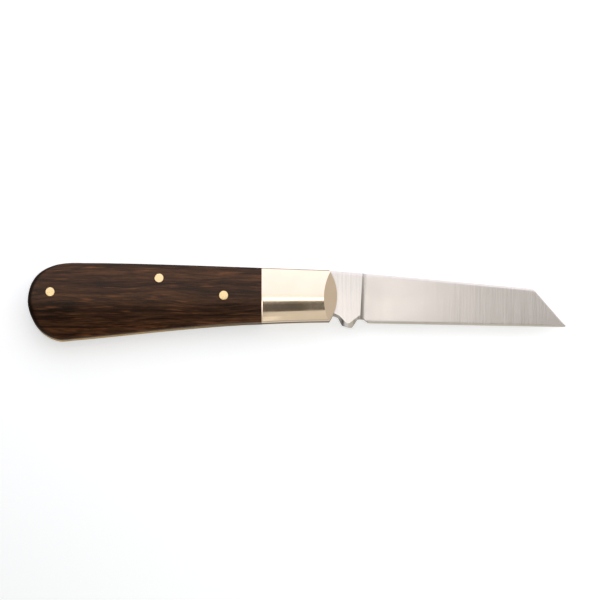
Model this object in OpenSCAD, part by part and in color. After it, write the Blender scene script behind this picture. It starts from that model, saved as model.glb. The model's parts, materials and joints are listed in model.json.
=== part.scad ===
// Single-blade slip-joint pocket knife with a lambfoot blade, lying open on its mark side.
// +X runs to the blade's tip, +Y to the handle's back, +Z up out of the pile side.
// The outlines are drawn about the blade's pivot, and place() moves them to the row's origin.

/* [Handle] */
// From the pivot back to the end of the butt
butt_reach = 84.1; // [83.6:0.1:86]
// From the pivot forward to the corners of the bolsters
front_reach = 8.7; // [8.2:0.1:9.2]
// How far the front of the bolsters bows out past their corners
front_bow = 2.4; // [1.8:0.1:2.8]
// Height of the back above the pivot, at the butt
back_h = 12.0; // [11.6:0.1:12.4]
// Depth of the belly below the pivot, at the butt
belly_h = 11.9; // [11.5:0.1:12.2]
// Height of the back above the pivot, at the front
front_back_h = 9.8; // [9.6:0.1:10]
// Depth of the belly below the pivot, at the front
front_belly_h = 5.9; // [5.8:0.05:6.1]
// Thickness over both crowns
handle_t = 11; // [10.4:0.1:12]
// Radius of the round crown, across the handle at the pivot
crown_r = 23.5; // [22:0.5:28]
// How much that radius grows for each millimetre towards the butt
crown_growth = 0.195; // [0.18:0.005:0.26]
// How much the mark side's crown is flattened to rest on
rest_cut = 0.1; // [0.05:0.01:0.15]
// From the pivot back to the joint of bolster and wood
bolster_back = 12.1; // [11.5:0.1:13]
// Slope of the bolster's front facet
facet_angle = 39; // [33:1:40]

/* [Liners and spring] */
// Thickness of each liner
liner_t = 0.9; // [0.7:0.1:1.1]
// Width of the well between the liners, which is the spring's thickness
well_t = 2.6; // [2.4:0.1:3]
// Height of the spring's seat on the tang above the pivot
seat_h = 5.8; // [5.8:0.05:5.9]
// Height of the tang's round end above the seat, which is how far the spring lifts
lift = 0.8; // [0.6:0.1:0.9]

/* [Blade] */
// From the pivot to the tip
blade_reach = 81.7; // [79:0.1:81.9]
// Side clearance between the tang and each liner
side_gap = 0.05; // [0.03:0.01:0.08]
// How far the blade turns to shut
shut_angle = 174; // [173.8:0.1:174.2]
// Half thickness of the ground face along the edge
edge_half_t = 0.22; // [0.15:0.01:0.3]
// Width of the small bevel that makes the edge
bevel_w = 0.5; // [0.3:0.1:0.8]
// Length of the nail nick
nick_len = 12; // [9:0.5:14]

/* [Pins] */
// Radius of the blade's pivot
pivot_r = 1.6; // [1.5:0.05:1.8]
// Radius of the handle's pins
pin_r = 1.2; // [1:0.05:1.3]
// Radius of the pins' peened heads at the surface
pin_head_r = 1.45; // [1.35:0.05:1.6]
// Depth of the countersink that the heads fill
head_depth = 0.6; // [0.4:0.1:0.8]
// Radius of the rivets that hold the bolsters
rivet_r = 0.8; // [0.6:0.1:1]
// Radial clearance of the moving parts on their pins
pin_gap = 0.05; // [0.03:0.01:0.08]

/* [Hidden] */
$fn = 64;

half_t = handle_t / 2;
half_well = well_t / 2;
half_blade = half_well - side_gap;
liner_z = half_well + liner_t;  // where the covers meet the liner
far = 120;                      // larger than the part, for cutters
tall = 10;                      // taller than half the part

// Where the pins stand, about the pivot
centre_pin_at = [-43.7, 7.35];
butt_pin_at = [-77.2, 2.95];
scale_pin_at = [-23.8, 1.85];
rivets_at = [[-8.2, 6], [-8.2, -2.8]];

// The crown is a cone whose highest line is level and lies a little above the X axis
crown_y = 1.0;
crown_slope = atan(crown_growth);
apex_x = crown_r / crown_growth;

// A point list along a cubic curve, without its last point
function curve(p, n = 10) = [
    for (i = [0 : n - 1]) let (t = i / n, s = 1 - t)
        s*s*s * p[0] + 3*s*s*t * p[1] + 3*s*t*t * p[2] + t*t*t * p[3]
];

// The front of the bolsters, an arc from the lower corner to the upper one
front_mid = (front_back_h - front_belly_h) / 2;
front_half = (front_back_h + front_belly_h) / 2;
front_r = (front_half * front_half + front_bow * front_bow) / (2 * front_bow);
front_half_angle = asin(front_half / front_r);
front_arc = [
    for (i = [0 : 11]) let (a = front_half_angle * (i / 6 - 1))
        [front_reach + front_bow - front_r * (1 - cos(a)), front_mid + front_r * sin(a)]
];

handle_outline = concat(
    front_arc,
    curve([[front_reach, front_back_h], [-20, 10.7], [-48, back_h], [-67, back_h]], 12),
    curve([[-67, back_h], [-70.2, back_h], [-butt_reach, 13.4], [-butt_reach, -0.3]], 16),
    curve([[-butt_reach, -0.3], [-butt_reach, -1.5], [-82.7, -10.7], [-74, -belly_h]], 12),
    curve([[-74, -belly_h], [-52, -10.3], [-28, -6.2], [front_reach, -front_belly_h]], 14)
);
outline_x = [for (p = handle_outline) p[0]];
outline_y = [for (p = handle_outline) p[1]];

// Spring: its front end stops just short of the tang's shoulder
shoulder_x = 7.3;
spring_end_x = shoulder_x - 0.15;
kick_rest = [-15.5, seat_h + 0.48];
belly_y = 4.6;                  // underside at the centre pin
butt_y = -0.1;                  // underside at the butt

// Blade
tang_r = seat_h + lift;
plunge_x = 18.7;
heel = [20.9, -6.4];
tip = [blade_reach, -7.3];
edge_end = [blade_reach - 1.2, -7.55];
clip_top = [70, 4.38];
face_corner = [18.7, -3.95];    // lower end of the tang's flat face
edge_turn = atan2(edge_end[1] - heel[1], edge_end[0] - heel[0]);
grind_w = 15.3;                 // from the edge to the back at the plunge
grind_angle = atan((half_blade - edge_half_t) / grind_w);
edge_land = 0.03;
bevel_angle = atan((edge_half_t - edge_land) / bevel_w);
seat_half_angle = acos(seat_h / tang_r);
shut_seat = 90 + shut_angle;    // direction of the seat that the spring finds when shut

tang_outline = concat(
    [[shoulder_x, 9.98]],
    [for (i = [1 : 8]) let (t = i / 8)          // the back, a very slight curve
        (1-t)*(1-t) * [shoulder_x, 9.98] + 2*t*(1-t) * [40, 7.25] + t*t * clip_top],
    curve([clip_top, [71.2, 4.26], [72.1, 3.7], [73, 2.7]], 5),
    [[73, 2.7], tip, edge_end, heel, [20.3, -6.1], [19.2, -5.3], [plunge_x, -5.2], face_corner],
    [[15.7, -5.97], [14.5, -6.5], [13.6, -6.2], [11.7, -4.1], [9.6, -3.6], [5, -5]],
    [for (a = [shut_seat + 8 : -3 : shut_seat - seat_half_angle + 1])
        seat_h / cos(a - shut_seat) * [cos(a), sin(a)]],
    [for (i = [0 : 12])
        let (a = shut_seat - seat_half_angle - i * (shut_seat - 90 - 2 * seat_half_angle) / 12)
        tang_r * [cos(a), sin(a)]],
    [[shoulder_x, seat_h]]
);
// The kick swells below the tang's faces, and these are its two sections
kick_face = [[11.7, -4.1], [13.6, -6.2], [14.5, -6.5], [15.7, -5.97], [17.6, -4.67], [14, -2]];
kick_core = [[11.3, -4.65], [12.6, -7.15], [14.8, -7.8], [15.7, -7.8], [17.5, -5.2], [14, -3]];
kick_core_t = 0.8;

// Origin at the middle of the whole part's box, on the rest face
middle_x = (blade_reach + min(outline_x)) / 2;
middle_y = (max(outline_y) + min(outline_y)) / 2;

brass = [0.83, 0.68, 0.42];
steel = [0.80, 0.78, 0.75];
rosewood = [0.27, 0.17, 0.11];

// Height of the crown over a point of the plan
function crown_z(p) = let (
    across = p[1] - crown_y,
    r = crown_growth * (apex_x - p[0]),
    k = 1 - crown_growth * crown_growth
) half_t - (r - sqrt(r * r - k * across * across)) / k;

module place() translate([-middle_x, -middle_y, half_t - rest_cut]) children();

// The round crown of the pile side, as one large cone
module crown() {
    front = apex_x - 30;
    back = apex_x + far;
    translate([apex_x, crown_y, half_t]) rotate([0, -90 - crown_slope, 0]) translate([0, 0, front])
        cylinder(h = back - front, r1 = front * crown_growth, r2 = back * crown_growth, $fn = 180);
}

// What is ground flush with it lies inside both crowns and above the rest face
module ground() {
    intersection() {
        crown();
        mirror([0, 0, 1]) crown();
        translate([-far, -far, rest_cut - half_t]) cube([2 * far, 2 * far, tall * 2]);
        children();
    }
}

module side(mark) {
    mirror([0, 0, mark ? 1 : 0]) children();
}

// A slab of the handle's outline between two heights and two places along X
module slab(z_low, z_high, x_low, x_high) {
    translate([0, 0, z_low]) linear_extrude(z_high - z_low) intersection() {
        polygon(handle_outline);
        translate([x_low, -far]) square([x_high - x_low, 2 * far]);
    }
}

// The stock of a headed pin, which also cuts the hole that it fills
module pin_stock(at) {
    neck = crown_z(at) - head_depth;
    flare = (pin_head_r - pin_r) / head_depth;
    end_r = pin_r + flare * (tall - neck);
    translate([at[0], at[1], 0]) rotate_extrude() polygon([
        [0, -tall], [end_r, -tall], [pin_r, -neck], [pin_r, neck], [end_r, tall], [0, tall]
    ]);
}

module plain_stock(at, r) {
    translate([at[0], at[1], -tall]) cylinder(r = r, h = 2 * tall);
}

module upper_half() {
    intersection() {
        children();
        translate([-far, -far, half_well]) cube([2 * far, 2 * far, tall]);
    }
}

module rivet_stock() {
    for (at = rivets_at) plain_stock(at, rivet_r);
}

module liner() {
    difference() {
        slab(half_well, liner_z, -far, far);
        plain_stock([0, 0], pivot_r);
        for (at = [centre_pin_at, butt_pin_at, scale_pin_at]) plain_stock(at, pin_r);
        rivet_stock();
    }
}

module bolster(mark) {
    difference() {
        side(mark) ground() side(mark) slab(liner_z, tall, -bolster_back, far);
        translate([front_reach + front_bow, 0, liner_z]) rotate([0, facet_angle, 0])
            translate([-far, -far, 0]) cube([2 * far, 2 * far, tall * 2]);
        plain_stock([0, 0], pivot_r);
        rivet_stock();
    }
}

module scale_cover(mark) {
    difference() {
        side(mark) ground() side(mark) slab(liner_z, tall, -far, -bolster_back);
        for (at = [centre_pin_at, butt_pin_at, scale_pin_at]) pin_stock(at);
    }
}

module pile_liner() color(brass) place() liner();
module mark_liner() color(brass) place() side(true) liner();
module pile_bolster() color(brass) place() bolster(false);
module mark_bolster() color(brass) place() side(true) bolster(true);
module pile_scale() color(rosewood) place() scale_cover(false);
module mark_scale() color(rosewood) place() side(true) scale_cover(true);
module pivot_pin() color(brass) place() ground() plain_stock([0, 0], pivot_r);
module centre_pin() color(brass) place() ground() pin_stock(centre_pin_at);
module butt_pin() color(brass) place() ground() pin_stock(butt_pin_at);
module pile_scale_pin() color(brass) place() ground() upper_half() pin_stock(scale_pin_at);
module mark_scale_pin()
    color(brass) place() ground() side(true) upper_half() pin_stock(scale_pin_at);
module pile_bolster_rivets() color(brass) place() ground() upper_half() rivet_stock();
module mark_bolster_rivets()
    color(brass) place() ground() side(true) upper_half() rivet_stock();

module back_spring() {
    under = concat(
        [[spring_end_x, seat_h], [-10, seat_h]],
        curve([kick_rest, [-26, 9.8], [-33, belly_y], [centre_pin_at[0], belly_y]], 10),
        curve([[centre_pin_at[0], belly_y], [-54, belly_y], [-55, 8.4], [-64, 7.6]], 8),
        curve([[-64, 7.6], [-72.5, 7], [-71, butt_y], [-78, butt_y]], 8),
        [[-far, butt_y], [-far, far], [spring_end_x, far]]
    );
    color(steel) place() difference() {
        translate([0, 0, -half_well]) linear_extrude(well_t) intersection() {
            polygon(handle_outline);
            polygon(under);
        }
        plain_stock(centre_pin_at, pin_r + pin_gap);
        plain_stock(butt_pin_at, pin_r + pin_gap);
    }
}

// One flat face of the grind, with the plunge at its back end
module grind() {
    translate([heel[0], heel[1], edge_half_t]) rotate([0, 0, edge_turn])
        rotate([grind_angle, 0, 0]) translate([plunge_x - heel[0], -1, 0])
        cube([far, 30, 2]);
}

// The small bevel that sharpens the edge
module edge_bevel() {
    translate([heel[0], heel[1], edge_land]) rotate([0, 0, edge_turn])
        rotate([bevel_angle, 0, 0]) translate([-0.6, -1, 0]) cube([far, 4, 2]);
}

// A crescent for the thumbnail, cut by the rim of a tilted disc
module nail_nick() {
    disc_r = 26;
    depth = disc_r - sqrt(disc_r * disc_r - nick_len * nick_len / 4);
    translate([30, 6.6, -half_blade + 0.14]) rotate([-28, 0, 0])
        translate([0, -1.6, -disc_r + depth]) rotate([-90, 0, 0]) cylinder(r = disc_r, h = 1.6);
}

module kick() {
    hull() {
        translate([0, 0, -half_blade]) linear_extrude(2 * half_blade) polygon(kick_face);
        translate([0, 0, -kick_core_t / 2]) linear_extrude(kick_core_t) polygon(kick_core);
    }
}

module blade() {
    color(steel) place() difference() {
        union() {
            translate([0, 0, -half_blade]) linear_extrude(2 * half_blade) polygon(tang_outline);
            kick();
        }
        grind();
        mirror([0, 0, 1]) grind();
        edge_bevel();
        mirror([0, 0, 1]) edge_bevel();
        plain_stock([0, 0], pivot_r + pin_gap);
        nail_nick();
    }
}

blade();
back_spring();
pile_liner();
mark_liner();
pile_bolster();
mark_bolster();
pile_scale();
mark_scale();
pivot_pin();
centre_pin();
butt_pin();
pile_scale_pin();
mark_scale_pin();
pile_bolster_rivets();
mark_bolster_rivets();
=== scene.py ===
import json
import math

import bmesh
import bpy
import numpy as np
from mathutils import Matrix, Vector


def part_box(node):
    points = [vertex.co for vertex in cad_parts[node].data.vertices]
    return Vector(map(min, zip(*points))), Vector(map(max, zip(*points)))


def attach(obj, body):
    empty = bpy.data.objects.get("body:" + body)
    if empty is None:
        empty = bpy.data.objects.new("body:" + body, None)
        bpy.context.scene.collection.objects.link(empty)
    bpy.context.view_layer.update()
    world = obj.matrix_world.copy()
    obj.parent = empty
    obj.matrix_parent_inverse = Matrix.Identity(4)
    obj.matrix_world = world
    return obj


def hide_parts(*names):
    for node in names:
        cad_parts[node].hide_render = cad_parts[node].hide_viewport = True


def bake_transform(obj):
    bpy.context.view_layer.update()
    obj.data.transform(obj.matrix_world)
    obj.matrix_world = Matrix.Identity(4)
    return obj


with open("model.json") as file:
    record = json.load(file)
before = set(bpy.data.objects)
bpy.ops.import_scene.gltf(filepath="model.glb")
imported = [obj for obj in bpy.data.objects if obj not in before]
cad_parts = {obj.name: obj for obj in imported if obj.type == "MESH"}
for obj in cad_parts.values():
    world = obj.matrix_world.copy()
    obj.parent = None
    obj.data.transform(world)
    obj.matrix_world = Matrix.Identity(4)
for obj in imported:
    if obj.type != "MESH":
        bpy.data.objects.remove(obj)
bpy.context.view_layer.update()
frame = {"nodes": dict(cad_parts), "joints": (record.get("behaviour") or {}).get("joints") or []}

# ---------------------------------------------------------------- sizes
# Every piece is modelled in millimetres about the blade's pivot, and row() moves it to the row's frame.
MM = 0.001
joints = {j["name"]: j for j in frame["joints"]}
PIVOT = Vector(joints["blade_pivot"]["pos_m"])
TO_ROW = Matrix.Translation(PIVOT) @ Matrix.Scale(MM, 4)


def about_pivot(point):
    """A point of the row, in millimetres about the pivot."""
    return (Vector(point) - PIVOT) / MM


WELL = about_pivot(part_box("pile_liner")[0]).z          # half the well's width
LINER_TOP = about_pivot(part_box("pile_liner")[1]).z     # where the covers begin
HALF = about_pivot(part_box("pile_bolster")[1]).z        # top of the crown
REST = -about_pivot(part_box("mark_bolster")[0]).z       # the flattened crown of the mark side
SEAM = about_pivot(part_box("pile_scale")[1]).x          # wood meets bolster
FRONT = about_pivot(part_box("pile_bolster")[1]).x       # foremost point of the bolsters
BUTT = about_pivot(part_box("pile_liner")[0]).x
HALF_BLADE = about_pivot(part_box("blade")[1]).z
TIP = about_pivot(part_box("blade")[1]).x

CROWN_R, CROWN_GROWTH = 23.5, 0.195     # radius across the handle at the pivot, and its growth to the butt
CROWN_Y = 1.0                           # where the crown's highest line lies
FACET = math.radians(39)                # slope of the bolster's front facet
SHOULDER, BUTT_SHOULDER = 0.5, 1.8      # width of the covers' rounded edges, along the sides and at the butt
SHOULDER_DEPTH = 1.0                    # and the most that they drop
PIN_R, PIN_HEAD_R, HEAD_DEPTH = 1.2, 1.45, 0.6
RIVET_R, PIVOT_R, PIN_GAP = 0.8, 1.6, 0.05
RIVETS = [(-8.2, 6.0), (-8.2, -2.8)]
FLUSH = 0.1                             # how far the pivot and the rivets end below the polished surface
NO_LIMIT = 99                           # above everything, for the side that isn't flattened to rest on


def crown(x, y):
    """Height of the round crown above the middle plane."""
    across = y - CROWN_Y
    r = CROWN_R - CROWN_GROWTH * x
    k = 1 - CROWN_GROWTH ** 2
    return HALF - (r - math.sqrt(r * r - k * across * across)) / k


# ---------------------------------------------------------------- mesh tools
def new_object(name, bm, sharp=32):
    """An object of a bmesh in millimetres, shaded smooth except at edges sharper than sharp degrees."""
    bmesh.ops.remove_doubles(bm, verts=bm.verts, dist=1e-4)
    bmesh.ops.recalc_face_normals(bm, faces=bm.faces)
    for face in bm.faces:
        face.smooth = True
    for edge in bm.edges:
        edge.smooth = len(edge.link_faces) == 2 and edge.calc_face_angle(0) < math.radians(sharp)
    mesh = bpy.data.meshes.new(name)
    bm.to_mesh(mesh)
    bm.free()
    obj = bpy.data.objects.new(name, mesh)
    bpy.context.scene.collection.objects.link(obj)
    return obj


def cut(obj, cutter, sharp=32):
    """Takes the cutter, a bmesh, out of obj."""
    tool = new_object("cutter", cutter)
    change = obj.modifiers.new("cut", "BOOLEAN")
    change.operation = "DIFFERENCE"
    change.solver = "EXACT"
    change.object = tool
    depsgraph = bpy.context.evaluated_depsgraph_get()
    result = bpy.data.meshes.new_from_object(obj.evaluated_get(depsgraph))
    obj.modifiers.clear()
    bpy.data.objects.remove(tool)
    bm = bmesh.new()
    bm.from_mesh(result)
    bmesh.ops.dissolve_degenerate(bm, dist=1e-4, edges=bm.edges)
    for edge in bm.edges:
        edge.smooth = len(edge.link_faces) == 2 and edge.calc_face_angle(0) < math.radians(sharp)
    for face in bm.faces:
        face.smooth = True
    bm.to_mesh(result)
    bm.free()
    result.name = obj.name
    obj.data = result


def row(obj):
    """Moves a finished piece from millimetres about the pivot to the row's frame."""
    obj.data.transform(TO_ROW)
    return obj


def flip(obj):
    """Turns a piece of the pile side into the mark side's."""
    obj.data.transform(Matrix.Scale(-1, 4, (0, 0, 1)))
    obj.data.flip_normals()
    return obj


def grid(bm, rows):
    """Faces between rows of points; every row has the same number."""
    made = [[bm.verts.new(p) for p in line] for line in rows]
    for a, b in zip(made, made[1:]):
        for i in range(len(a) - 1):
            bm.faces.new((a[i], a[i + 1], b[i + 1], b[i]))
    return made


def close_below(bm, rim, z):
    """Walls straight down from a closed rim of vertices, and a flat face between them."""
    foot = [bm.verts.new((v.co.x, v.co.y, z)) for v in rim]
    for i, vert in enumerate(rim):
        j = (i + 1) % len(rim)
        bm.faces.new((vert, rim[j], foot[j], foot[i]))
    bm.faces.new(foot)


def lathe(bm, centre, profile, sides=64):
    """Turns a profile of (radius, z) about a vertical line. A z may be a function of x and y."""
    rings = []
    for r, z in profile:
        ring = []
        for i in range(sides):
            a = 2 * math.pi * i / sides
            x, y = centre[0] + r * math.cos(a), centre[1] + r * math.sin(a)
            ring.append((x, y, z(x, y) if callable(z) else z))
        rings.append(ring + ring[:1])
    made = grid(bm, rings)
    bm.faces.new(made[0][:-1][::-1])
    bm.faces.new(made[-1][:-1])
    bmesh.ops.remove_doubles(bm, verts=bm.verts, dist=1e-5)


# ---------------------------------------------------------------- outlines
def flat_loop(node, height):
    """The anticlockwise outline of a CAD node's flat face at that height, in millimetres about the pivot."""
    mesh = frame["nodes"][node].data
    level = PIVOT.z + height * MM
    edges = {}
    for face in mesh.polygons:
        if face.normal.z > 0.99 and abs(face.center.z - level) < 2e-6:
            keys = [tuple(round(c, 7) for c in mesh.vertices[i].co[:2]) for i in face.vertices]
            for a, b in zip(keys, keys[1:] + keys[:1]):
                if (b, a) in edges:
                    del edges[(b, a)]
                else:
                    edges[(a, b)] = True
    following = {a: b for a, b in edges}
    loops = []
    while following:
        start, point = following.popitem()
        loop = [start]
        while point != start:
            loop.append(point)
            point = following.pop(point)
        loops.append(loop)
    loop = max(loops, key=lambda points: max(p[0] for p in points) - min(p[0] for p in points))
    return [((x - PIVOT.x) / MM, (y - PIVOT.y) / MM) for x, y in loop]


def runs_between_corners(loop, corner=25):
    """Splits a closed outline at its corners."""
    n = len(loop)
    turns = []
    for i in range(n):
        a, b, c = (Vector(loop[(i + k) % n]) for k in (-1, 0, 1))
        turns.append(abs(math.degrees((b - a).angle_signed(c - b))))
    corners = [i for i in range(n) if turns[i] > corner]
    runs = []
    for i, j in zip(corners, corners[1:] + [corners[0] + n]):
        runs.append([loop[k % n] for k in range(i, j + 1)])
    return runs


def smooth_run(points, step=0.4):
    """A smooth curve through the points, with a point about every step millimetres."""
    pts = [Vector(p) for p in points]
    if len(pts) < 3:
        return [tuple(p) for p in pts]
    ends = [2 * pts[0] - pts[1]] + pts + [2 * pts[-1] - pts[-2]]
    out = []
    for a, b, c, d in zip(ends, ends[1:], ends[2:], ends[3:]):
        count = max(1, round((c - b).length / step))
        t1 = (a - b).length ** 0.5
        t2 = (b - c).length ** 0.5
        t3 = (c - d).length ** 0.5
        m1 = t2 * ((b - a) / t1 - (c - a) / (t1 + t2) + (c - b) / t2)
        m2 = t2 * ((c - b) / t2 - (d - b) / (t2 + t3) + (d - c) / t3)
        for i in range(count):
            t = i / count
            out.append(tuple(
                (2 * t ** 3 - 3 * t ** 2 + 1) * b + (t ** 3 - 2 * t ** 2 + t) * m1
                + (3 * t ** 2 - 2 * t ** 3) * c + (t ** 3 - t ** 2) * m2
            ))
    return out + [tuple(pts[-1])]


def inset(loop, distance):
    """Each point of a closed anticlockwise outline, moved inwards."""
    out = []
    n = len(loop)
    for i in range(n):
        a, b, c = (Vector(loop[(i + k) % n]) for k in (-1, 0, 1))
        u, v = (b - a).normalized(), (c - b).normalized()
        normal = Vector((-(u + v).y, (u + v).x)).normalized()
        stretch = max(0.5, normal.dot(Vector((-u.y, u.x))))
        out.append(tuple(b + normal * distance / stretch))
    return out


def plate(name, loop, low, high, chamfer):
    """A flat plate with small chamfers along both of its rims."""
    narrow = inset(loop, chamfer)
    levels = [(narrow, low), (loop, low + chamfer), (loop, high - chamfer), (narrow, high)]
    bm = bmesh.new()
    made = grid(bm, [[(x, y, z) for x, y in points + points[:1]] for points, z in levels])
    bm.faces.new(made[0][:-1][::-1])
    bm.faces.new(made[-1][:-1])
    return new_object(name, bm)


outline = flat_loop("pile_liner", LINER_TOP)
front_run, long_run = sorted(runs_between_corners(outline), key=len)
front_run, long_run = smooth_run(front_run), smooth_run(long_run)
handle_loop = front_run[:-1] + long_run[:-1]

# The long run goes from the upper front corner round the butt to the lower one
turn_at = min(range(len(long_run)), key=lambda i: long_run[i][0])
back_x, back_y = zip(*sorted(long_run[:turn_at + 1]))
belly_x, belly_y = zip(*sorted(long_run[turn_at:]))


def back(x):
    return float(np.interp(x, back_x, back_y))


def belly(x):
    return float(np.interp(x, belly_x, belly_y))


# ---------------------------------------------------------------- covers
def shoulder_drop(distance, width):
    """How far a rounded edge lies below the crown, at a distance inside the outline."""
    if distance >= width:
        return 0.0
    depth = min(width, SHOULDER_DEPTH)
    return depth - depth * math.sqrt(1 - (1 - distance / width) ** 2)


RING_SHARES = [0, 0.02, 0.05, 0.11, 0.18, 0.28, 0.4, 0.55, 0.75, 1]     # rings across a rounded edge
LEDGE = 0.22                            # the liner shows this much beyond the shrunken wood at the belly
FAN_X = BUTT + 10.5                     # the butt's lines of points meet here
LIP, LIP_RISE = 0.32, 0.045             # the bolster's edge along the wood stands a little proud
LIP_SHARE = LIP / (FRONT - SEAM)
BOLSTER_STEPS = [0, 0.5 * LIP / (FRONT - SEAM), LIP_SHARE] + [i / 44 for i in range(1, 45)]


def liner_ledge(x):
    """How far the wood ends short of the liner along the belly."""
    return float(np.interp(x, (BUTT + 4, BUTT + 9, SEAM - 8, SEAM), (0, LEDGE, LEDGE, 0)))


def cover_rim():
    """Pairs of points round a cover: one on its edge, and the one on the crown that its line runs to."""
    count = 90
    belly_side = -6
    xs = [SEAM + (FAN_X - SEAM) * i / count for i in range(count + 1)]
    rim = [((x, belly(x) + liner_ledge(x)), (x, CROWN_Y)) for x in xs]
    end = [p for p in long_run[::-1] if p[0] < FAN_X - 0.2]
    end = [(x, y + (liner_ledge(x) if y < belly_side else 0)) for x, y in end]
    rim += [(p, (FAN_X, CROWN_Y)) for p in end]
    return rim + [((x, back(x)), (x, CROWN_Y)) for x in xs[::-1]]


def wood_cover(name, mark):
    """A wooden cover: lines of points run inwards from its edge to the crown's highest line."""
    limit = REST if mark else NO_LIMIT
    inner_steps = 14
    lines = []
    for edge, core in cover_rim():
        edge, core = Vector(edge), Vector(core)
        length = (core - edge).length
        radius = float(np.interp(edge.x - BUTT, (2, 9), (BUTT_SHOULDER, SHOULDER)))
        line = []
        for share in RING_SHARES:
            p = edge.lerp(core, share * radius / length)
            line.append((*p, min(limit, crown(*p) - shoulder_drop(share * radius, radius))))
        start = radius / length
        for i in range(1, inner_steps + 1):
            p = edge.lerp(core, start + (1 - start) * i / inner_steps)
            line.append((*p, min(limit, crown(*p))))
        lines.append(line)
    bm = bmesh.new()
    made = grid(bm, lines)
    close_below(bm, [line[0] for line in made] + made[-1][1:] + made[0][-2:0:-1], LINER_TOP)
    return new_object(name, bm, 40)


def bolster(name, mark):
    """A bolster: a domed bar, bowed at its front end and ground off there to a flat facet."""
    limit = REST if mark else NO_LIMIT
    front_y, front_x = zip(*sorted((y, x) for x, y in front_run))
    across_steps = 48
    places = [(0, share * SHOULDER) for share in RING_SHARES]
    places += [(k / across_steps, SHOULDER) for k in range(1, across_steps)]
    places += [(1, share * SHOULDER) for share in RING_SHARES[::-1]]
    lines = []
    for along in BOLSTER_STEPS:
        line = []
        for share, inside in places:
            x = SEAM + (FRONT - SEAM) * along
            for _ in range(4):
                low, high = belly(x), back(x)
                y = low + inside + (high - low - 2 * inside) * share
                x = SEAM + (float(np.interp(y, front_y, front_x)) - SEAM) * along
            lip = 0 if mark else LIP_RISE * max(0, 1 - along * (FRONT - SEAM) / LIP)
            line.append((x, y, min(limit, crown(x, y) - shoulder_drop(inside, SHOULDER)) + lip))
        lines.append(line)
    bm = bmesh.new()
    made = grid(bm, lines)
    rim = made[0] + [line[-1] for line in made[1:]] + made[-1][-2::-1] + [line[0] for line in made[-2:0:-1]]
    close_below(bm, rim, LINER_TOP)
    whole = bm.verts[:] + bm.edges[:] + bm.faces[:]
    cut_edges = bmesh.ops.bisect_plane(
        bm, geom=whole, dist=1e-4, plane_co=(FRONT, 0, LINER_TOP + 0.02),
        plane_no=(math.sin(FACET), 0, math.cos(FACET)), clear_outer=True)["geom_cut"]
    bmesh.ops.edgeloop_fill(bm, edges=[part for part in cut_edges if isinstance(part, bmesh.types.BMEdge)])
    return new_object(name, bm, 24)


# ---------------------------------------------------------------- pins
def pin_profile(at, ends):
    """The profile of a peened pin that fills its countersinks; its ends are heights or "crown"."""
    def surface(sign, lift):
        return lambda x, y: sign * min(crown(x, y) + lift, REST if sign < 0 else NO_LIMIT)

    def head(sign):
        neck = sign * (crown(*at) - HEAD_DEPTH)
        return [
            (PIN_R, neck),
            (PIN_HEAD_R - 0.06, surface(sign, -0.12)),
            (PIN_HEAD_R - 0.04, surface(sign, -0.06)),
            (PIN_HEAD_R - 0.1, surface(sign, 0.02)),
            (PIN_HEAD_R * 0.6, surface(sign, 0.03)),
            (PIN_HEAD_R * 0.2, surface(sign, 0.035)),
            (0.02, surface(sign, 0.035)),
        ]

    low, high = ends
    profile = head(-1)[::-1] if low == "crown" else [(0.02, low), (PIN_R, low)]
    return profile + (head(1) if high == "crown" else [(PIN_R, high), (0.02, high)])


def pin(name, node, ends):
    low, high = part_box(node)
    at = about_pivot((low + high) / 2)[:2]
    bm = bmesh.new()
    lathe(bm, at, pin_profile(at, ends))
    return new_object(name, bm, 50)


def plain_pins(name, places, r, low, high):
    """Straight pins that end a little under the surface that they are ground flush with."""
    bm = bmesh.new()
    for at in places:
        lathe(bm, at, [(r - 0.15, low), (r, low + 0.15), (r, high - 0.15), (r - 0.15, high)])
    return new_object(name, bm)


def cut_pin_holes(obj, nodes):
    for node in nodes:
        low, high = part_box(node)
        at = about_pivot((low + high) / 2)[:2]
        reach = 9.0
        flare = (PIN_HEAD_R - PIN_R) / HEAD_DEPTH
        neck = crown(*at) - HEAD_DEPTH
        end_r = PIN_R + flare * (reach - neck)
        bm = bmesh.new()
        lathe(bm, at, [(end_r, -reach), (PIN_R, -neck), (PIN_R, neck), (end_r, reach)])
        cut(obj, bm, 40)


def cut_round_hole(obj, at, r, reach=9.0):
    bm = bmesh.new()
    lathe(bm, at, [(r, -reach), (r, reach)])
    cut(obj, bm)


# ---------------------------------------------------------------- blade
SEAT_H, LIFT, SHOULDER_X = 5.8, 0.8, 7.3
TANG_R = SEAT_H + LIFT
SHUT_SEAT = math.radians(90 + joints["blade_pivot"]["range_deg"][1])
PLUNGE_X, PLUNGE_R, PLUNGE_LEAN = 18.6, 1.2, 0.05
HEEL = (20.9, -6.4)
EDGE_END = (TIP - 1.2, -7.55)
EDGE_HALF, BEVEL_W, GRIND_W = 0.22, 0.5, 15.3
GRIND_SLOPE = (HALF_BLADE - EDGE_HALF) / GRIND_W
BACK_CHAMFER, BACK_DROP = 0.45, 0.12     # the eased edges of the blade's back
CORE_HALF = 0.4


def spine_y(x):
    u = x - SHOULDER_X
    return 9.98 - 0.0835 * u - 0.0000973 * u * u


def round_corners(points, radii, steps=5):
    """Replaces each inner corner of an open line with an arc-like curve of about that radius."""
    out = [points[0]]
    for (a, b, c), radius in zip(zip(points, points[1:], points[2:]), radii):
        a, b, c = Vector(a), Vector(b), Vector(c)
        reach = min(radius, (b - a).length * 0.49, (c - b).length * 0.49)
        p, q = b + (a - b).normalized() * reach, b + (c - b).normalized() * reach
        for i in range(steps + 1):
            t = i / steps
            out.append(tuple((1 - t) ** 2 * p + 2 * t * (1 - t) * b + t ** 2 * q))
    return out + [points[-1]]


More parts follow.
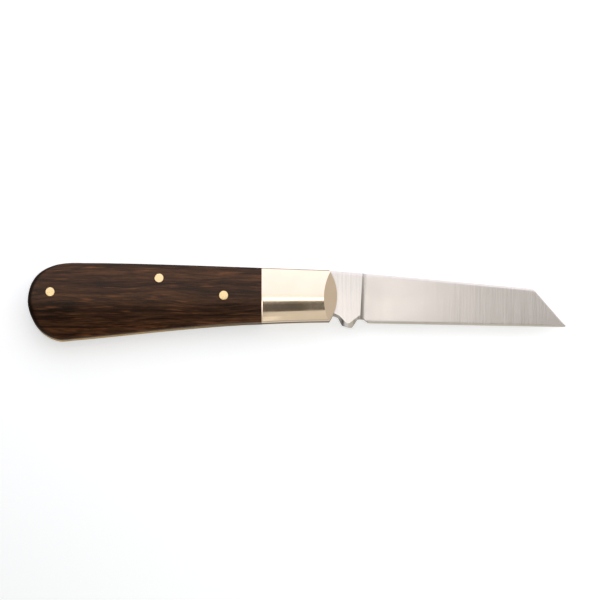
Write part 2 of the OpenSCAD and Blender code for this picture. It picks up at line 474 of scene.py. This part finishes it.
def rising(points):
    """The same line with every x a little past the one before, so that it is a function of x."""
    out = [points[0]]
    for x, y in points[1:]:
        out.append((max(x, out[-1][0] + 0.012), y))
    return out


def tang_arc(low, high, steps=16):
    """Points round the tang's end between two angles."""
    return [(TANG_R * math.cos(a), TANG_R * math.sin(a)) for a in np.linspace(low, high, steps)]


seat_half = math.acos(SEAT_H / TANG_R)
shut_corner = SHUT_SEAT - seat_half
blade_back = rising(
    tang_arc(math.pi, math.pi / 2 + seat_half)
    + [(SHOULDER_X, SEAT_H)]
    + [(x, spine_y(x)) for x in np.linspace(SHOULDER_X + 0.05, 70, 40)]
    + round_corners([(70.05, spine_y(70.05)), (71.75, spine_y(71.75)), (TIP, -7.2)], [1.9], 10)[1:]
)
kick_line = [(9.6, -4.1), (11.35, -4.7), (12.6, -7.15), (14.75, -7.8), (15.75, -7.8), (17.45, -5.2),
             (19.2, -5.2), (20.5, -6.25)]
kick_face = [(10.2, -3.35), (11.75, -4.05), (13.55, -5.95), (14.3, -6.5), (15.0, -6.45), (17.2, -4.85),
             (18.4, -4.0), (18.5, -4.0)]
kick_radii = [0.5, 0.35, 0.35, 0.35, 0.5, 0.9]
blade_belly = rising(
    tang_arc(math.pi, shut_corner)
    + [(0.4, -5.88), (1.4, -5.85), (5, -5)]
    + round_corners(kick_line, kick_radii)
    + [(21.2, HEEL[1] - 0.02), EDGE_END, (TIP - 0.45, -7.5), (TIP, -7.3)]
)
face_belly = rising(
    tang_arc(math.pi, shut_corner)
    + [(0.4, -5.8), (1.4, -5.8), (5, -4.9)]
    + round_corners(kick_face, kick_radii)
)


def line_at(points, x):
    xs, ys = zip(*points)
    return float(np.interp(x, xs, ys))


def edge_y(x):
    return HEEL[1] + (EDGE_END[1] - HEEL[1]) / (EDGE_END[0] - HEEL[0]) * (x - HEEL[0])


def face_z(x, y):
    """Half thickness of the blade: a flat tang, then a flat grind that begins in a hollow plunge."""
    plane = EDGE_HALF + max(0.0, y - edge_y(x)) * GRIND_SLOPE
    plane = min(plane, HALF_BLADE)
    depth = HALF_BLADE - plane
    run = math.sqrt(max(0.0, 2 * PLUNGE_R * depth - depth * depth))
    inside = x - (PLUNGE_X + PLUNGE_LEAN * (y - 2))
    if inside <= 0:
        return HALF_BLADE
    if inside >= run:
        return plane
    return plane + PLUNGE_R - math.sqrt(PLUNGE_R ** 2 - (run - inside) ** 2)


def blade_section(x):
    """The pile side's half of a section: from the back's middle line over the face to the edge."""
    top, low = line_at(blade_back, x), line_at(blade_belly, x)
    ground = x > PLUNGE_X
    if x < 8:
        ease, face_low, core = 0.0, low, HALF_BLADE
    elif not ground:
        ease, core = 1.0, CORE_HALF
        face_low = max(low, line_at(face_belly, x))
    else:
        ease, core = 1.0, 0.03
        face_low = low + BEVEL_W
    span = top - low
    ease *= min(1.0, span / (4 * BACK_CHAMFER))
    chamfer = BACK_CHAMFER * ease
    face_low = min(face_low, top - chamfer - span * 0.1)
    rows = 26
    points = []
    start = top - chamfer
    for i in range(rows + 1):
        y = start + (face_low - start) * i / rows
        lean = PLUNGE_LEAN * (y - 2) * math.exp(-((x - PLUNGE_X) / 2.5) ** 2) if x > 12 else 0
        points.append((x + lean, y, face_z(x + lean, y)))
    points = [(x, top, 0), (x, top, points[0][2] - BACK_DROP * ease)] + points
    return points + [(x, low, min(core, points[-1][2])), (x, low, 0)]


def blade_stations():
    """Where the blade's sections lie along X: closest at the plunge, and one at each point of its outline."""
    tang_end, ground_start, closest = 9, 22, 0.0015
    stations = set(np.linspace(-TANG_R, tang_end, 90)) | set(np.linspace(tang_end, ground_start, 120))
    stations |= set(np.linspace(ground_start, TIP, 130))
    stations |= set(np.linspace(PLUNGE_X - 0.05, PLUNGE_X + 2, 50))
    stations |= {PLUNGE_X - 0.001, PLUNGE_X + 0.001}
    stations |= {p[0] for p in blade_back + blade_belly + face_belly}
    stations = sorted(s for s in stations if -TANG_R <= s <= TIP)
    return [s for s, after in zip(stations, stations[1:] + [math.inf]) if after - s > closest]


def nick_cutter():
    """A thin disc that leans into the mark side and leaves the nail nick."""
    radius, length, width, depth, lean = 26.0, 12.0, 1.6, 0.14, math.radians(-28)
    rise = radius - math.sqrt(radius ** 2 - length ** 2 / 4)
    bm = bmesh.new()
    lathe(bm, (0, 0), [(radius, 0), (radius, width)], sides=400)
    bm.transform(
        Matrix.Translation((30, 6.6, depth - HALF_BLADE)) @ Matrix.Rotation(lean, 4, "X")
        @ Matrix.Translation((0, -width, rise - radius)) @ Matrix.Rotation(math.radians(-90), 4, "X"))
    return bm


def blade_piece():
    lines = []
    for x in blade_stations():
        half = blade_section(x)
        lines.append(half + [(px, py, -pz) for px, py, pz in half[-2:0:-1]] + half[:1])
    bm = bmesh.new()
    made = grid(bm, lines)
    bm.faces.new(made[0][:-1])
    bm.faces.new(made[-1][:-1])
    obj = new_object("blade_steel", bm, 26)
    cut_round_hole(obj, (0, 0), PIVOT_R + PIN_GAP)
    cut(obj, nick_cutter(), 26)
    return obj


# ---------------------------------------------------------------- materials
def material(name, colour, roughness, metallic=0.0):
    mat = bpy.data.materials.new(name)
    mat.use_nodes = True
    shader = mat.node_tree.nodes["Principled BSDF"]
    shader.inputs["Base Color"].default_value = (*colour, 1)
    shader.inputs["Roughness"].default_value = roughness
    shader.inputs["Metallic"].default_value = metallic
    return mat, mat.node_tree, shader


def node(tree, kind, inputs=None, **settings):
    made = tree.nodes.new(kind)
    for key, value in settings.items():
        setattr(made, key, value)
    for key, value in (inputs or {}).items():
        if isinstance(value, bpy.types.NodeSocket):
            tree.links.new(value, made.inputs[key])
        else:
            made.inputs[key].default_value = value
    return made


def stretched_noise(tree, scale, offset=(0, 0, 0), detail=3.0, roughness=0.5, vector=None):
    """Noise that runs at scale features per metre along X, Y and Z."""
    if vector is None:
        vector = node(tree, "ShaderNodeTexCoord").outputs["Object"]
    mapped = node(tree, "ShaderNodeMapping", {"Vector": vector, "Location": offset, "Scale": scale})
    inputs = {"Vector": mapped.outputs["Vector"], "Scale": 1.0, "Detail": detail, "Roughness": roughness}
    return node(tree, "ShaderNodeTexNoise", inputs).outputs["Fac"]


def ramp(tree, value, stops):
    made = node(tree, "ShaderNodeValToRGB", {"Fac": value})
    elements = made.color_ramp.elements
    while len(elements) < len(stops):
        elements.new(0.5)
    for element, (place, colour) in zip(elements, stops):
        element.position = place
        element.color = (*colour, 1) if len(colour) == 3 else colour
    return made.outputs["Color"]


def spread(tree, value, low, high, from_low=0.3, from_high=0.7):
    """The value from from_low to from_high, mapped to run from low to high and held there beyond."""
    inputs = {"Value": value, "From Min": from_low, "From Max": from_high, "To Min": low, "To Max": high}
    return node(tree, "ShaderNodeMapRange", inputs).outputs["Result"]


def math_node(tree, operation, a, b=0.0):
    return node(tree, "ShaderNodeMath", {0: a, 1: b}, operation=operation).outputs[0]


def coordinate(tree, axis, kind="Object"):
    """One axis of the object's own coordinates, or of its normal."""
    vector = node(tree, "ShaderNodeTexCoord").outputs[kind]
    return node(tree, "ShaderNodeSeparateXYZ", {0: vector}).outputs[axis]


def mix_colours(tree, factor, a, b, blend="MIX"):
    made = node(tree, "ShaderNodeMix", data_type="RGBA", blend_type=blend)
    for key, value in ((0, factor), (6, a), (7, b)):
        if isinstance(value, bpy.types.NodeSocket):
            tree.links.new(value, made.inputs[key])
        else:
            made.inputs[key].default_value = value
    return made.outputs[2]


def bump(tree, shader, height, strength, distance):
    made = node(tree, "ShaderNodeBump", {"Height": height, "Strength": strength, "Distance": distance})
    tree.links.new(made.outputs["Normal"], shader.inputs["Normal"])


def wandering_grain(tree, seed):
    """The object's own coordinates, pushed slowly sideways so that the fibres wander."""
    at = node(tree, "ShaderNodeTexCoord").outputs["Object"]
    wander = stretched_noise(tree, (16, 60, 60), (seed, 0, 0), 2.0, vector=at)
    push = node(tree, "ShaderNodeCombineXYZ", {"Y": spread(tree, wander, -0.0016, 0.0016)}).outputs[0]
    return node(tree, "ShaderNodeVectorMath", {0: at, 1: push}, operation="ADD").outputs[0]


def rosewood(name, seed):
    """Dark red-brown wood: broad bands, fine streaks along X, orange flecks and short dark pores."""
    mat, tree, shader = material(name, (0.03, 0.014, 0.007), 0.3)
    shader.inputs["Specular IOR Level"].default_value = 0.28
    shader.inputs["Specular Tint"].default_value = (1, 0.80, 0.66, 1)
    at = wandering_grain(tree, seed)
    bands = stretched_noise(tree, (9, 210, 210), (seed, 3, 1), 2.0, 0.5, vector=at)
    streaks = stretched_noise(tree, (75, 1000, 1000), (seed, 7, 2), 3.0, 0.6, vector=at)
    hairs = stretched_noise(tree, (190, 2900, 2900), (seed, 11, 3), 2.0, 0.6, vector=at)
    pores = stretched_noise(tree, (230, 3300, 3300), (seed, 5, 9), 1.0, 0.4, vector=at)
    flecks = stretched_noise(tree, (120, 1700, 1700), (seed, 15, 4), 2.0, 0.5, vector=at)
    band_part = math_node(tree, "MULTIPLY", bands, 0.42)
    streak_part = math_node(tree, "MULTIPLY", streaks, 0.58)
    colour = ramp(tree, math_node(tree, "ADD", band_part, streak_part), [
        (0.38, (0.0130, 0.0055, 0.0028)),
        (0.46, (0.0290, 0.0110, 0.0050)),
        (0.53, (0.0500, 0.0200, 0.0090)),
        (0.62, (0.0850, 0.0340, 0.0145)),
    ])
    orange = spread(tree, flecks, 0.0, 0.55, 0.58, 0.74)
    colour = mix_colours(tree, orange, colour, (0.22, 0.078, 0.024, 1))
    shade = spread(tree, hairs, 0.65, 1.38, 0.34, 0.66)
    grey = node(tree, "ShaderNodeCombineColor", {"Red": shade, "Green": shade, "Blue": shade}).outputs[0]
    colour = mix_colours(tree, 1.0, colour, grey, "MULTIPLY")
    dark = spread(tree, pores, 0.0, 0.6, 0.60, 0.68)
    colour = mix_colours(tree, dark, colour, (0.006, 0.003, 0.002, 1))
    # Darker where the surface faces along X: partly end grain, partly painted shade for the dark band round
    # the butt's rounded edge
    facing = math_node(tree, "ABSOLUTE", coordinate(tree, "X", "Normal"))
    end_grain_and_shade = spread(tree, facing, 0.0, 0.85, 0.10, 0.30)
    colour = mix_colours(tree, end_grain_and_shade, colour, (0.006, 0.002, 0.001, 1))
    tree.links.new(colour, shader.inputs["Base Color"])
    tree.links.new(spread(tree, streaks, 0.24, 0.36), shader.inputs["Roughness"])
    height = math_node(tree, "SUBTRACT", hairs, math_node(tree, "MULTIPLY", dark, 0.8))
    bump(tree, shader, height, 0.25, 0.00003)
    return mat


def brass(name, colour, roughness, scratch, bump_strength=0.02, lines=(30, 4200, 4200)):
    """Brass with fine rub marks, lines to the metre, and soft smears of colour and gloss."""
    mat, tree, shader = material(name, colour, roughness, 1.0)
    rub = stretched_noise(tree, lines, (1, 2, 3), 4.0, 0.6)
    smear = stretched_noise(tree, (220, 220, 220), (4, 2, 8), 3.0)
    rough = math_node(tree, "ADD", spread(tree, rub, roughness - scratch, roughness + scratch),
                      spread(tree, smear, -scratch, scratch))
    tree.links.new(rough, shader.inputs["Roughness"])
    shade = mix_colours(tree, spread(tree, smear, 0, 1), (*[c * 0.96 for c in colour], 1), (*colour, 1))
    tree.links.new(shade, shader.inputs["Base Color"])
    bump(tree, shader, rub, bump_strength, 0.00001)
    return mat


def paint_shade_forward(mat):
    """Painted shade: makes a metal darker from the middle of the handle to its front, where less light
    reaches it.
    """
    tree = mat.node_tree
    shader = tree.nodes["Principled BSDF"]
    unshaded = shader.inputs["Base Color"].links[0].from_socket
    amount = spread(tree, coordinate(tree, "X"), 0.0, 0.72, -0.045, -0.012)
    tree.links.new(mix_colours(tree, amount, unshaded, (0.12, 0.07, 0.03, 1)), shader.inputs["Base Color"])


def steel(name, colour, roughness, lines, spread_axis, anisotropy):
    """Brushed steel: spread_axis is the radial axis whose tangent lies across the strokes."""
    mat, tree, shader = material(name, colour, roughness, 1.0)
    shader.inputs["Anisotropic"].default_value = anisotropy
    tangent = node(tree, "ShaderNodeTangent", direction_type="RADIAL", axis=spread_axis)
    tree.links.new(tangent.outputs["Tangent"], shader.inputs["Tangent"])
    strokes = stretched_noise(tree, lines, (5, 1, 2), 4.0, 0.7)
    cloud = stretched_noise(tree, (70, 140, 140), (9, 2, 4), 3.0)
    shade = mix_colours(tree, spread(tree, strokes, 0, 1, 0.3, 0.7), (*[c * 0.93 for c in colour], 1),
                        (*[min(1, c * 1.07) for c in colour], 1))
    tree.links.new(shade, shader.inputs["Base Color"])
    rough = math_node(tree, "ADD", spread(tree, strokes, roughness - 0.03, roughness + 0.03),
                      spread(tree, cloud, -0.02, 0.02))
    tree.links.new(rough, shader.inputs["Roughness"])
    bump(tree, shader, strokes, 0.04, 0.00001)
    return mat


def shade_plunge(mat):
    """Painted shade: a dark line in the hollow where the blade's grind begins."""
    tree = mat.node_tree
    shader = tree.nodes["Principled BSDF"]
    plain = shader.inputs["Base Color"].links[0].from_socket
    lean = math_node(tree, "MULTIPLY", coordinate(tree, "Y"), PLUNGE_LEAN)
    inside = math_node(tree, "SUBTRACT", coordinate(tree, "X"), lean)
    start = PIVOT.x + (PLUNGE_X - 2 * PLUNGE_LEAN) * MM
    rise = spread(tree, inside, 0.0, 1.0, start - 0.1 * MM, start + 0.15 * MM)
    fall = spread(tree, inside, 1.0, 0.0, start + 0.3 * MM, start + 1.5 * MM)
    depth = math_node(tree, "MULTIPLY", math_node(tree, "MULTIPLY", rise, fall), 0.5)
    tree.links.new(mix_colours(tree, depth, plain, (0.15, 0.13, 0.12, 1)), shader.inputs["Base Color"])


wood_pile = rosewood("rosewood_pile", 0.0)
wood_mark = rosewood("rosewood_mark", 4.7)
bolster_brass = brass("bolster_brass", (0.93, 0.74, 0.59), 0.09, 0.03)
liner_brass = brass("liner_brass", (0.90, 0.68, 0.37), 0.55, 0.06, 0.1)
# painted shade: the liners' edges darken towards the front
paint_shade_forward(liner_brass)
pin_brass = brass("pin_brass", (0.84, 0.63, 0.33), 0.28, 0.06, 0.1, (1800, 1800, 1800))
blade_steel = steel("blade_steel", (0.70, 0.652, 0.612), 0.22, (2600, 60, 60), "Y", 0.8)
shade_plunge(blade_steel)
spring_steel = steel("spring_steel", (0.60, 0.57, 0.53), 0.34, (60, 60, 5200), "Z", 0.5)


# ---------------------------------------------------------------- the pieces
def finish_piece(obj, mat, body, slot, *nodes):
    """Gives a piece its material and its place, says what it rides on, and hides the CAD nodes that it
    replaces.
    """
    obj.data.materials.clear()
    obj.data.materials.append(mat)
    row(obj)
    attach(obj, body)
    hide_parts(*nodes)


def build_side(side, is_mark, wood):
    """The cover, bolster and liner of one side."""
    turn = flip if is_mark else (lambda piece: piece)
    cover = wood_cover(f"{side}_cover", is_mark)
    cut_pin_holes(cover, ("centre_pin", "butt_pin", "pile_scale_pin"))
    finish_piece(turn(cover), wood, "handle", "rosewood", f"{side}_scale")

    bar = turn(bolster(f"{side}_bolster_brass", is_mark))
    finish_piece(bar, bolster_brass, "handle", "bolster_brass", f"{side}_bolster")

    low, high = (-LINER_TOP, -WELL) if is_mark else (WELL, LINER_TOP)
    liner = plate(f"{side}_liner_brass", handle_loop, low, high, 0.06)
    finish_piece(liner, liner_brass, "handle", "liner_brass", f"{side}_liner")


def build_pins():
    """The headed pins, and the ones that are ground flush with the bolsters."""
    headed = [
        ("centre_pin_brass", "centre_pin", ("crown", "crown")),
        ("butt_pin_brass", "butt_pin", ("crown", "crown")),
        ("pile_cover_pin", "pile_scale_pin", (WELL, "crown")),
        ("mark_cover_pin", "mark_scale_pin", ("crown", -WELL)),
    ]
    for name, cad_node, ends in headed:
        finish_piece(pin(name, cad_node, ends), pin_brass, "handle", "pin_brass", cad_node)

    pivot_top = crown(0, -PIVOT_R) - FLUSH
    rivet_top = min(crown(x, y + side * RIVET_R) for x, y in RIVETS for side in (-1, 1)) - FLUSH
    flush = [
        ("pivot_pin_brass", "pivot_pin", [(0, 0)], PIVOT_R, -pivot_top, pivot_top),
        ("pile_rivets", "pile_bolster_rivets", RIVETS, RIVET_R, WELL, rivet_top),
        ("mark_rivets", "mark_bolster_rivets", RIVETS, RIVET_R, -rivet_top, -WELL),
    ]
    for name, cad_node, places, r, low, high in flush:
        piece = plain_pins(name, places, r, low, high)
        finish_piece(piece, bolster_brass, "handle", "bolster_brass", cad_node)


def build_spring():
    """The back spring: one flat steel bar with holes for the centre and butt pins."""
    loop = []
    for run in runs_between_corners(flat_loop("back_spring", WELL)):
        loop += smooth_run(run, 0.5)[:-1]
    spring = plate("back_spring_steel", loop, -WELL, WELL, 0.05)
    for name in ("centre_pin", "butt_pin"):
        low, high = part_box(name)
        cut_round_hole(spring, about_pivot((low + high) / 2)[:2], PIN_R + PIN_GAP)
    spring.data.materials.append(spring_steel)
    row(spring)
    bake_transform(spring)
    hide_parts("back_spring")


build_side("pile", False, wood_pile)
build_side("mark", True, wood_mark)
build_pins()
finish_piece(blade_piece(), blade_steel, "blade", "blade_steel", "blade")
build_spring()

# ---------------------------------------------------------------- stage
CEILING = 0.15           # height of the light panels over the knife


def panel(name, left, right, low, high, radiance, far_radiance=None, tint=(1, 1, 1)):
    """A light panel of the ceiling, of which only the light and the reflection are seen.

    It runs from left to right in metres, and from low to high in degrees from the vertical towards +Y.
    Its radiance runs from the low edge to the high one.
    """
    y_low, y_high = (CEILING * math.tan(math.radians(angle)) for angle in (low, high))
    mesh = bpy.data.meshes.new(name)
    z = PIVOT.z + CEILING
    corners = [(left, y_low, z), (right, y_low, z), (right, y_high, z), (left, y_high, z)]
    mesh.from_pydata(corners, [], [(0, 1, 2, 3)])
    lamp = bpy.data.objects.new(name, mesh)
    bpy.context.scene.collection.objects.link(lamp)
    mat = bpy.data.materials.new(name)
    mat.use_nodes = True
    tree = mat.node_tree
    tree.nodes.clear()
    far_radiance = radiance if far_radiance is None else far_radiance
    level = spread(tree, coordinate(tree, "Y"), radiance, far_radiance, y_low, y_high)
    glow = node(tree, "ShaderNodeEmission", {"Color": (*tint, 1), "Strength": level})
    out = node(tree, "ShaderNodeOutputMaterial")
    tree.links.new(glow.outputs[0], out.inputs["Surface"])
    mesh.materials.append(mat)
    lamp.visible_camera = False


SIDE = 0.4               # how far the ceiling reaches to each side
LIGHT_START = -0.18      # the bright panels end here, past the butt, whose round edge so stays dark
FRONT_START = -0.013     # the reflector in front lights the bolster and not the wood
FRONT_MIDDLE = -0.004    # and is brighter up to here
GAP_END = 0.014          # the dark gap in the ceiling lies over the handle only
BLADE_END = 0.041        # and the light over the blade grows dim here
panel("softbox", LIGHT_START, SIDE, 11, 75, 1.27, 1.75, (1, 1, 1.07))
panel("softbox_edge", LIGHT_START, BLADE_END, 6, 11, 1.16, 1.24)
panel("bright_strip", LIGHT_START, GAP_END, 0.7, 6, 1.9)
panel("gap_upper", -SIDE, GAP_END, -5, 0.7, 0.11, 0.32, (1, 0.97, 0.80))
panel("gap_lower", -SIDE, GAP_END, -15.2, -5, 0.12, 0.11, (1, 0.97, 0.80))
panel("gap_over_wood", -SIDE, FRONT_START, -53, -15.2, 0.05, 0.08)
panel("front_reflector", FRONT_MIDDLE, SIDE, -75, -22, 0.55, 0.70, (1, 1, 0.88))
panel("front_reflector_left", FRONT_START, FRONT_MIDDLE, -75, -22, 0.75, 0.95, (1, 1, 0.88))
panel("front_reflector_edge", FRONT_START, GAP_END, -22, -15.2, 0.70, 0.72, (1, 1, 0.88))
panel("low_reflector", -SIDE, FRONT_START, -78, -53, 0.9)
panel("tang_panel", GAP_END, BLADE_END, 0, 6, 1.3, 1.15, (1, 0.985, 0.975))
panel("blade_panel", GAP_END, BLADE_END, -22, 0, 0.70, 2.3, (1, 0.985, 0.975))
panel("blade_panel_end", BLADE_END, SIDE, -22, 11, 0.3, 0.9, (1, 0.98, 0.965))


def pale_floor():
    """A plain floor that glows a little, so that it stays near white, and isn't seen in the metal."""
    reach = 3.0
    mesh = bpy.data.meshes.new("floor")
    corners = [(-reach, -reach, 0), (reach, -reach, 0), (reach, reach, 0), (-reach, reach, 0)]
    mesh.from_pydata(corners, [], [(0, 1, 2, 3)])
    floor = bpy.data.objects.new("floor", mesh)
    bpy.context.scene.collection.objects.link(floor)
    mat, _, shader = material("floor", (0.8, 0.8, 0.8), 0.9)
    shader.inputs["Specular IOR Level"].default_value = 0.0
    shader.inputs["Emission Color"].default_value = (0.985, 1, 1.02, 1)
    shader.inputs["Emission Strength"].default_value = 0.52
    mesh.materials.append(mat)
    floor.visible_glossy = False


def room():
    """A dim warm room, lighter on the right and at the back, over an even floor."""
    world = bpy.data.worlds.new("room")
    bpy.context.scene.world = world
    world.use_nodes = True
    tree = world.node_tree
    way = node(tree, "ShaderNodeTexCoord").outputs["Generated"]
    bright_side = (0.8, 0.6, 0)
    towards = node(tree, "ShaderNodeVectorMath", {0: way, 1: bright_side}, operation="DOT_PRODUCT")
    side = towards.outputs["Value"]
    height = node(tree, "ShaderNodeSeparateXYZ", {0: way}).outputs["Z"]
    is_above = spread(tree, height, 0, 1, -0.1, 0.05)
    above = spread(tree, side, 0.15, 0.62, -1, 1)
    below = spread(tree, side, 0.52, 0.72, 1, -1)
    level = node(tree, "ShaderNodeMix", {0: is_above, 2: below, 3: above}).outputs[0]
    background = tree.nodes["Background"]
    warm = mix_colours(tree, is_above, (1, 0.985, 0.95, 1), (1, 0.98, 0.88, 1))
    tree.links.new(warm, background.inputs["Color"])
    tree.links.new(level, background.inputs["Strength"])


pale_floor()
room()
bpy.context.scene.view_settings.view_transform = "Standard"

# ---------------------------------------------------------------- camera
TILT = math.radians(5)   # from the vertical, towards the belly
LENS = 400.0
SENSOR = 36.0
VIEW_WIDTH = 0.18504     # what the frame spans at the pivot's height


def place_camera():
    data = bpy.data.cameras.new("camera")
    data.lens = LENS
    data.clip_start = 0.01
    camera = bpy.data.objects.new("camera", data)
    bpy.context.scene.collection.objects.link(camera)
    target = PIVOT + Vector((-0.30, 0.84, 0)) * MM
    distance = VIEW_WIDTH * LENS / SENSOR
    camera.location = target + distance * Vector((0, -math.sin(TILT), math.cos(TILT)))
    camera.rotation_euler = (TILT, 0, 0)
    bpy.context.scene.camera = camera


place_camera()
